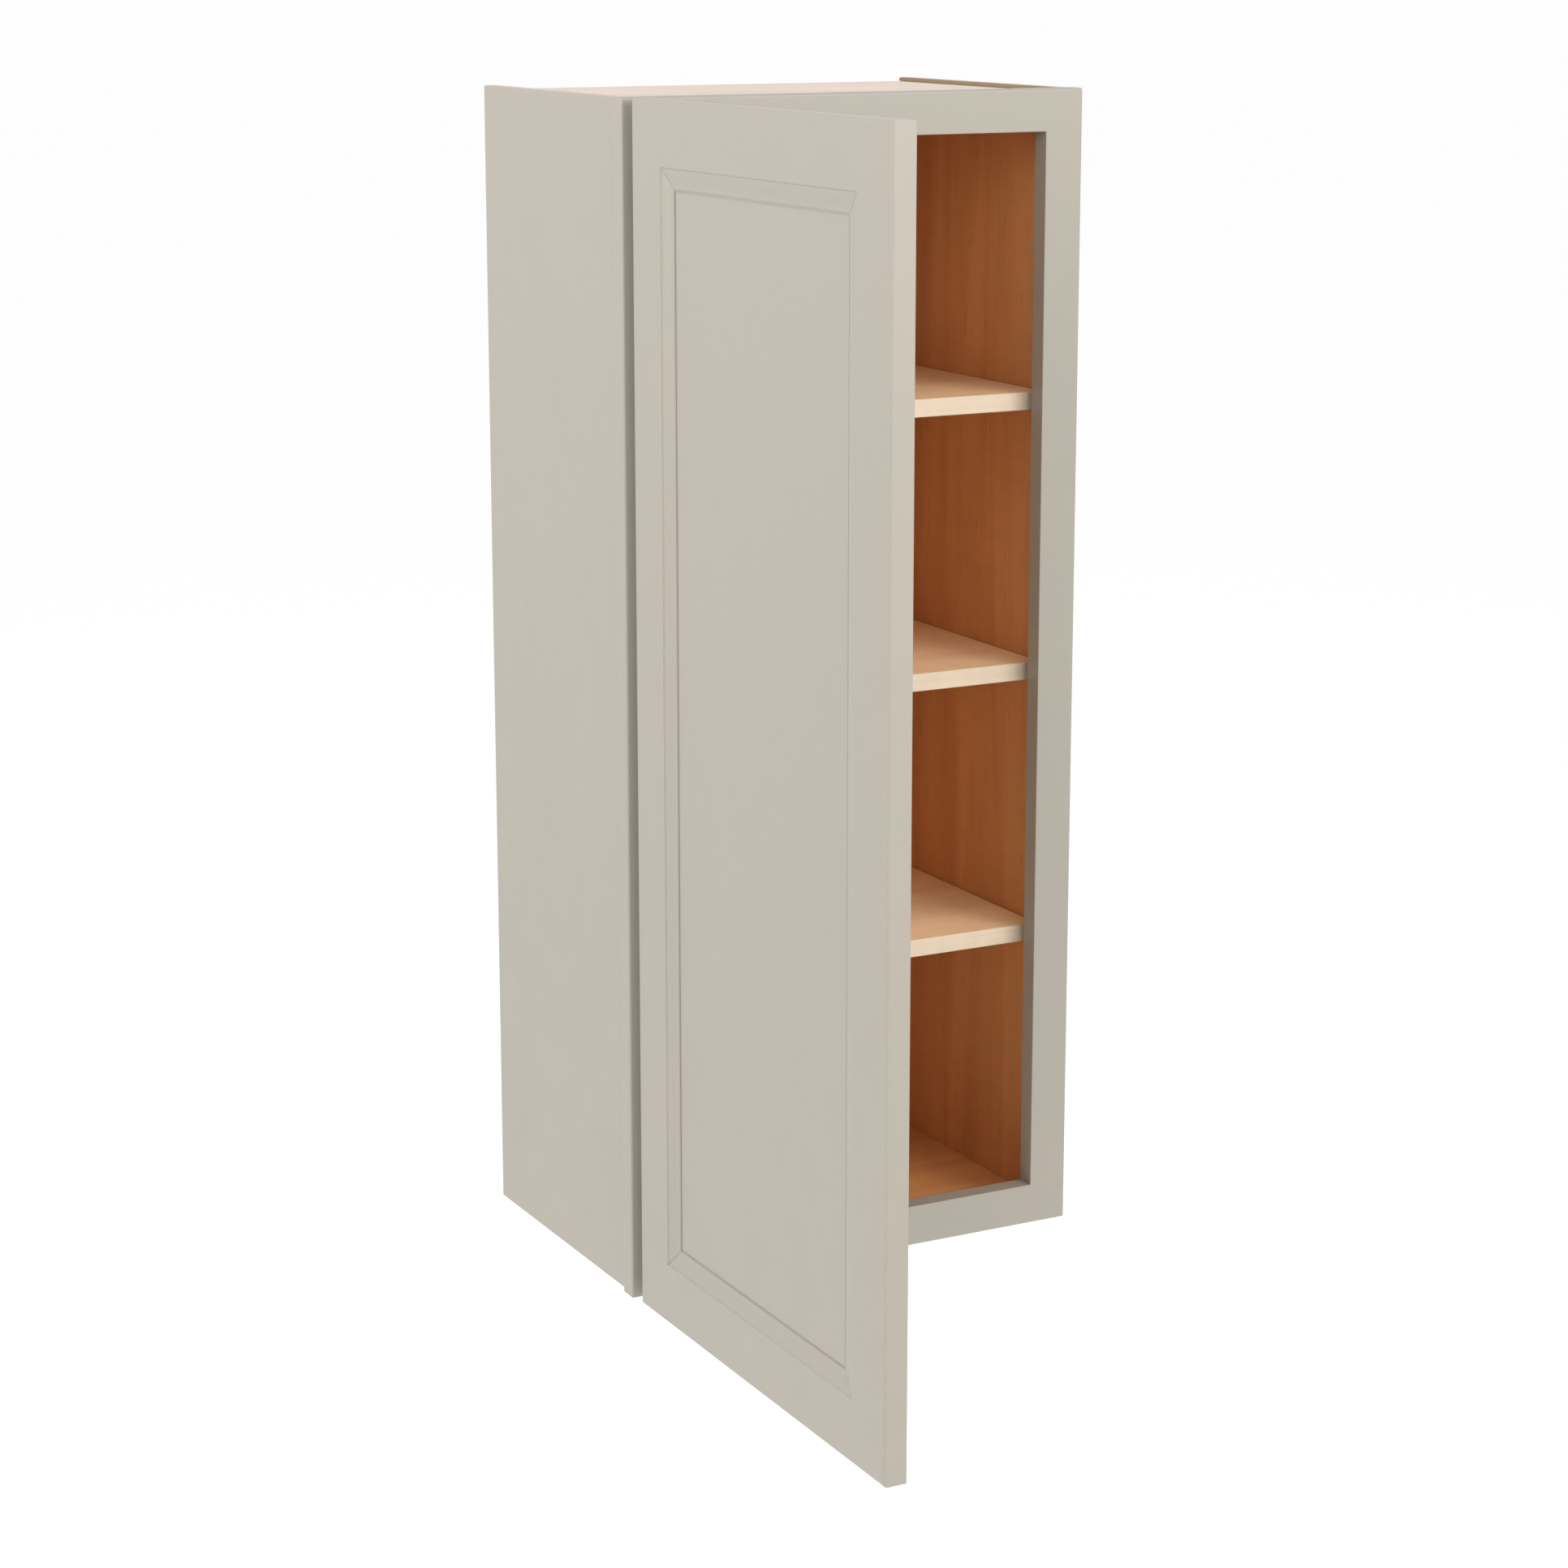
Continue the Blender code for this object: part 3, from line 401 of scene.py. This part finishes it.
def arc(centre, radius, start, end, steps):
    """Points on a round stretch, with the angles in degrees."""
    angles = [math.radians(start + (end - start) * step / steps) for step in range(steps + 1)]
    return [(centre[0] + radius * math.cos(a), centre[1] + radius * math.sin(a)) for a in angles]


def cut(mesh, tools):
    """The mesh with each tool's volume taken out of it."""
    scene_objects = bpy.context.scene.collection.objects
    blank = bpy.data.objects.new(mesh.name, mesh)
    scene_objects.link(blank)
    helpers = []
    for tool in tools:
        helper = bpy.data.objects.new(tool.name, tool)
        scene_objects.link(helper)
        helpers.append(helper)
        step = blank.modifiers.new(tool.name, "BOOLEAN")
        step.operation = "DIFFERENCE"
        step.solver = "EXACT"
        step.object = helper
    bpy.context.view_layer.update()
    depsgraph = bpy.context.evaluated_depsgraph_get()
    result = bpy.data.meshes.new_from_object(blank.evaluated_get(depsgraph))
    for helper in (blank, *helpers):
        bpy.data.objects.remove(helper, do_unlink=True)
    return result


def shade(mesh, angle=40.0):
    """Smooth shading, with edges over the angle kept sharp."""
    mesh.shade_smooth()
    mesh.set_sharp_from_angle(angle=math.radians(angle))


def finish_faces(mesh, finishes):
    """Give each face the finish of the direction that it looks in."""
    mesh.materials.clear()
    slots = list(dict.fromkeys(finishes.values()))
    for finish in slots:
        mesh.materials.append(finish)
    for face in mesh.polygons:
        towards = max(finishes, key=lambda side: face.normal.dot(DIRECTIONS[side]))
        face.material_index = slots.index(finishes[towards])


def all_round(finish, **others):
    """The same finish in every direction, apart from those named."""
    return {side: others.get(side, finish) for side in DIRECTIONS}


def piece(name, mesh, body, slot, *nodes):
    """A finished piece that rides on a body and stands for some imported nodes."""
    made = bpy.data.objects.new(name, mesh)
    mesh.name = name
    bpy.context.scene.collection.objects.link(made)
    evening = made.modifiers.new("even_normals", "WEIGHTED_NORMAL")
    evening.keep_sharp = True
    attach(made, body)
    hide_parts(*nodes)
    return made


def painted(name, mesh, body, angle, *nodes):
    """A piece with paint all over."""
    mesh.materials.clear()
    mesh.materials.append(PAINT)
    shade(mesh, angle)
    return piece(name, mesh, body, "greige_paint", *nodes)


def board(name, node, body, slot, finishes, rounding=BOARD_ROUNDING, tools=()):
    """A board with rounded edges in the place of a packed one."""
    mesh = block_mesh(name, *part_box(node), rounding)
    if tools:
        mesh = cut(mesh, tools)
    finish_faces(mesh, finishes)
    shade(mesh)
    return piece(name, mesh, body, slot, node)


# ---- Face frame ---------------------------------------------------------------------------------------

def face_frame():
    """The painted frame in one piece, its joints sanded flush, with softened edges."""
    low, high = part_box("frame_left_stile")
    right_low, right_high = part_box("frame_right_stile")
    bottom_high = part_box("frame_bottom_rail")[1]
    top_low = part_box("frame_top_rail")[0]
    outer = ((low.x, low.z), (right_high.x, low.z), (right_high.x, high.z), (low.x, high.z))
    inner = (
        (high.x, bottom_high.z), (right_low.x, bottom_high.z),
        (right_low.x, top_low.z), (high.x, top_low.z),
    )
    work = bmesh.new()
    join_rings(work, [
        [work.verts.new((x, y, z)) for x, z in corners]
        for corners, y in ((outer, low.y), (inner, low.y), (inner, high.y), (outer, high.y))
    ])
    for around_opening, rounding in ((True, OPENING_ROUNDING), (False, FRAME_ROUNDING)):
        folded = [
            edge for edge in work.edges
            if edge.calc_face_angle() > math.radians(FOLD_ANGLE)
            and all(low.x < vert.co.x < right_high.x for vert in edge.verts) == around_opening
        ]
        bmesh.ops.bevel(work, geom=folded, offset=rounding, segments=4, profile=0.5, affect="EDGES")
    in_fixed_order(work.verts, lambda vert: vert.co)
    in_fixed_order(work.faces, lambda face: face.calc_center_median())
    nodes = [f"frame_{member}" for member in ("left_stile", "right_stile", "top_rail", "bottom_rail")]
    painted("face_frame", finished_mesh(work, "face_frame"), "cabinet", 40.0, *nodes)


# ---- Door ---------------------------------------------------------------------------------------------

def moulding_profile(flat, width):
    """The moulding in section: distance from the door's outer edge, and depth below its outer face."""
    start = flat + STEP_WIDTH
    end = flat + width - QUIRK_WIDTH - BEAD_WIDTH
    points = []
    for step in range(STEP_POINTS):
        part = step / STEP_POINTS
        points.append((flat + STEP_WIDTH * part, STEP_DEPTH * math.sin(math.pi * part / 2) ** 2))
    fall = LIP_DEPTH - STEP_DEPTH
    for step in range(SLOPE_POINTS + 1):
        part = step / SLOPE_POINTS
        wave = part - math.sin(2 * math.pi * part) / (2 * math.pi)
        share = (1 - SLOPE_WAVE) * part + SLOPE_WAVE * wave
        points.append((start + (end - start) * part, STEP_DEPTH + fall * share))
    points.append((end + QUIRK_WIDTH / 2, LIP_DEPTH + QUIRK_DEPTH))
    bead = BEAD_WIDTH / 2
    points += arc((flat + width - bead, LIP_DEPTH + bead), bead, 180, 360, steps=6)
    return points


def door_profile(thickness, panel_face, panel_rear):
    """The section of a door member as a closed loop of (distance from the outer edge, depth) points."""
    inner = DOOR_FLAT + DOOR_MOULDING
    floor = inner - GROOVE_DEPTH
    front = DOOR_ROUNDING
    rear = DOOR_REAR_ROUNDING
    points = arc((front, front), front, 180, 270, steps=4)
    points += moulding_profile(DOOR_FLAT, DOOR_MOULDING)
    points += [(inner, panel_face - SEAT), (floor, panel_face - SEAT)]
    points += [(floor, panel_rear + GAP), (inner, panel_rear + GAP)]
    points += arc((inner - rear, thickness - rear), rear, 0, 90, steps=3)
    points += arc((rear, thickness - rear), rear, 90, 180, steps=3)
    return points


def mitred_ring(work, corners, x, recess):
    """Three vertices at each corner, the middle one sunk, so that a fine line marks the mitre."""
    ring = []
    for number, corner in enumerate(corners):
        before = (corners[number - 1] - corner).normalized() * MITRE_HALF
        after = (corners[(number + 1) % 4] - corner).normalized() * MITRE_HALF
        for place, sunk in ((corner + before, 0.0), (corner, recess), (corner + after, 0.0)):
            ring.append(work.verts.new((x + sunk, place.x, place.y)))
    return ring


def door_frame():
    """The door's stiles and rails in one piece, with mitred moulding and the bores for its hinges."""
    low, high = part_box("door_hinge_stile")
    free_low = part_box("door_free_stile")[0]
    panel_low, panel_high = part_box("door_centre_panel")
    profile = door_profile(high.x - low.x, panel_low.x - low.x, panel_high.x - low.x)
    slope_end = DOOR_FLAT + DOOR_MOULDING - QUIRK_WIDTH - BEAD_WIDTH
    work = bmesh.new()
    rings = []
    for inset, depth in profile:
        on_slope = DOOR_FLAT < inset <= slope_end and depth < LIP_DEPTH + GAP
        hinge_edge = high.y - inset
        free_edge = free_low.y + inset
        corners = [
            Vector((hinge_edge, low.z + inset)), Vector((free_edge, low.z + inset)),
            Vector((free_edge, high.z - inset)), Vector((hinge_edge, high.z - inset)),
        ]
        rings.append(mitred_ring(work, corners, low.x + depth, MITRE_DEPTH if on_slope else 0.0))
    join_rings(work, rings)
    mesh = cut(finished_mesh(work, "door_frame"), hinge_bores(high.x))
    nodes = [f"door_{member}" for member in ("hinge_stile", "free_stile", "top_rail", "bottom_rail")]
    painted("door_frame", mesh, "door", 32.0, *nodes)


def hinge_bores(inner_face):
    """Cutters for the hinge cups and their screws, on the door's inner face."""
    cups = []
    screws = []
    for level in LEVELS:
        low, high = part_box(f"hinge_cup_{level}")
        centre = (low + high) / 2
        cups.append((inner_face, centre.y, centre.z))
        for number in (1, 2):
            screw_low, screw_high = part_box(f"cup_screw_{level}_{number}")
            middle = (screw_low + screw_high) / 2
            screws.append((inner_face, middle.y, middle.z))
    return (
        rods_mesh("cup_bores", CUP_BORE_RADIUS, 2 * CUP_BORE_DEPTH, cups, ALONG_X, sides=64),
        rods_mesh("screw_bores", SCREW_HOLE_RADIUS, 2 * SCREW_HOLE_DEPTH, screws, ALONG_X, sides=16),
    )


def door_panel():
    """The door's centre panel."""
    board("door_panel", "door_centre_panel", "door", "greige_paint", all_round(PAINT), PANEL_ROUNDING)


# ---- Carcass ------------------------------------------------------------------------------------------

def side_cutters(side, wall, low, high):
    """Cutters for a side's dadoes, back groove and pin holes."""
    inner = low.x if wall > 0 else high.x
    top_low, top_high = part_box("top_panel")
    bottom_low, bottom_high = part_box("bottom_panel")
    back_low, back_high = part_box("back_panel")
    dado = abs(top_high.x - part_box("upper_hanging_rail")[1].x)
    front = low.y - OVERRUN
    rear = high.y + OVERRUN
    grooves = (
        ("top_dado", dado, front, rear, top_low.z, top_high.z),
        ("bottom_dado", dado, front, rear, bottom_low.z, bottom_high.z),
        ("back_groove", BACK_GROOVE_DEPTH, back_low.y - GAP, back_high.y + GAP, bottom_high.z, top_low.z),
    )
    tools = []
    for label, depth, start, end, floor, ceiling in grooves:
        reach = sorted((inner - wall * OVERRUN, inner + wall * (depth + GAP)))
        corners = (reach[0], start, floor - GAP), (reach[1], end, ceiling + GAP)
        tools.append(block_mesh(f"{side}_{label}", *corners))
    holes = []
    for level in LEVELS:
        for end in ("front", "rear"):
            pin_low, pin_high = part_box(f"pin_{level}_{side}_{end}")
            middle = (pin_low + pin_high) / 2
            holes.append((inner, middle.y, middle.z))
    tools.append(rods_mesh(f"{side}_pin_holes", PIN_HOLE_RADIUS, 2 * PIN_HOLE_DEPTH, holes, ALONG_X, sides=20))
    return tools


def side_board(side, wall):
    """A side: painted outside, stained inside, bare at its edges and inside above the top panel."""
    node = f"{side}_side_panel"
    tools = side_cutters(side, wall, *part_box(node))
    edges = plies(f"{side}_side_plies", 0, node)
    inside, outside = ("left", "right") if wall > 0 else ("right", "left")
    finishes = all_round(edges, **{inside: INTERIOR_UPRIGHT, outside: PAINT})
    made = board(f"{side}_side", node, "cabinet", "stained_maple", finishes, SIDE_ROUNDING, tools)
    made.data.materials.append(RAW_STRIP)
    top_panel_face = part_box("top_panel")[1].z
    for face in made.data.polygons:
        if face.center.z > top_panel_face and face.normal.dot(DIRECTIONS[inside]) > 0.2:
            face.material_index = len(made.data.materials) - 1


def carcass():
    """Sides, top, bottom, back and hanging rails."""
    side_board("left", -1)
    side_board("right", 1)
    top_edges = plies("top_panel_plies", 2, "top_panel")
    bottom_edges = plies("bottom_panel_plies", 2, "bottom_panel")
    back_edges = plies("back_panel_plies", 1, "back_panel", 3)
    board("top_board", "top_panel", "cabinet", "bare_maple",
          all_round(top_edges, top=BARE_LEVEL, bottom=INTERIOR_LEVEL))
    board("bottom_board", "bottom_panel", "cabinet", "stained_maple",
          all_round(bottom_edges, top=INTERIOR_LEVEL, bottom=BARE_LEVEL))
    board("back_board", "back_panel", "cabinet", "stained_maple",
          all_round(back_edges, front=INTERIOR_UPRIGHT, rear=BARE_UPRIGHT), PANEL_ROUNDING)
    for place in ("lower", "upper"):
        node = f"{place}_hanging_rail"
        edges = plies(f"{place}_rail_plies", 1, node)
        board(f"{place}_rail", node, "cabinet", "plywood", all_round(edges, front=RAIL_FACE, rear=RAIL_FACE))


def shelves():
    """Loose shelves with a pale band along the front edge."""
    for level in LEVELS:
        node = f"shelf_{level}"
        edges = plies(f"shelf_{level}_plies", 2, node, 7)
        finishes = all_round(edges, top=SHELF_FACE, bottom=SHELF_FACE, front=SHELF_BAND)
        board(f"shelf_{level}_board", node, node, "shelf_maple", finishes, SHELF_ROUNDING)


def carried_over():
    """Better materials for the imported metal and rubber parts."""
    for name, node in frame["nodes"].items():
        if name.startswith("hinge_"):
            finish = NICKEL
        elif "screw" in name or name.startswith("pin_"):
            finish = ZINC
        elif name.startswith("bumper_"):
            finish = RUBBER
        else:
            continue
        for slot in node.material_slots:
            slot.material = finish


# ---- Floor, light and camera --------------------------------------------------------------------------

def stage():
    """A pale floor at the height that a hung cabinet has below it."""
    low = cad_box[0]
    bpy.ops.mesh.primitive_plane_add(size=FLOOR_SIZE, location=(0.0, 0.0, low.z - HANGING_HEIGHT))
    floor = bpy.context.object
    floor.name = "floor"
    floor.data.materials.append(studio_floor())


def lamp(name, place, aim, size, power):
    """A square soft light that looks at a point."""
    light = bpy.data.lights.new(name, "AREA")
    light.shape = "SQUARE"
    light.size = size
    light.energy = power
    holder = bpy.data.objects.new(name, light)
    holder.location = place
    holder.rotation_euler = (aim - place).to_track_quat("-Z", "Y").to_euler()
    bpy.context.scene.collection.objects.link(holder)


def lighting():
    """An even white surround with soft lights on both sides, in front and above."""
    world = bpy.data.worlds.new("studio")
    world.use_nodes = True
    surround = world.node_tree.nodes["Background"]
    surround.inputs["Color"].default_value = (1.0, 1.0, 1.0, 1.0)
    surround.inputs["Strength"].default_value = 1.0
    bpy.context.scene.world = world
    bpy.context.scene.view_settings.view_transform = "Standard"
    middle = (cad_box[0] + cad_box[1]) / 2
    for name, offset, size, power in LAMPS:
        lamp(name, middle + Vector(offset), middle, size, power)


def camera():
    """The view: from the front left, a little above the cabinet's top."""
    data = bpy.data.cameras.new("camera")
    data.lens = CAMERA_LENS
    data.shift_y = CAMERA_SHIFT
    data.clip_end = FLOOR_SIZE
    holder = bpy.data.objects.new("camera", data)
    holder.location = CAMERA_PLACE
    holder.rotation_euler = (math.radians(90 - CAMERA_PITCH), 0.0, math.radians(-CAMERA_YAW))
    bpy.context.scene.collection.objects.link(holder)
    bpy.context.scene.camera = holder


face_frame()
door_frame()
door_panel()
carcass()
shelves()
carried_over()
stage()
lighting()
camera()
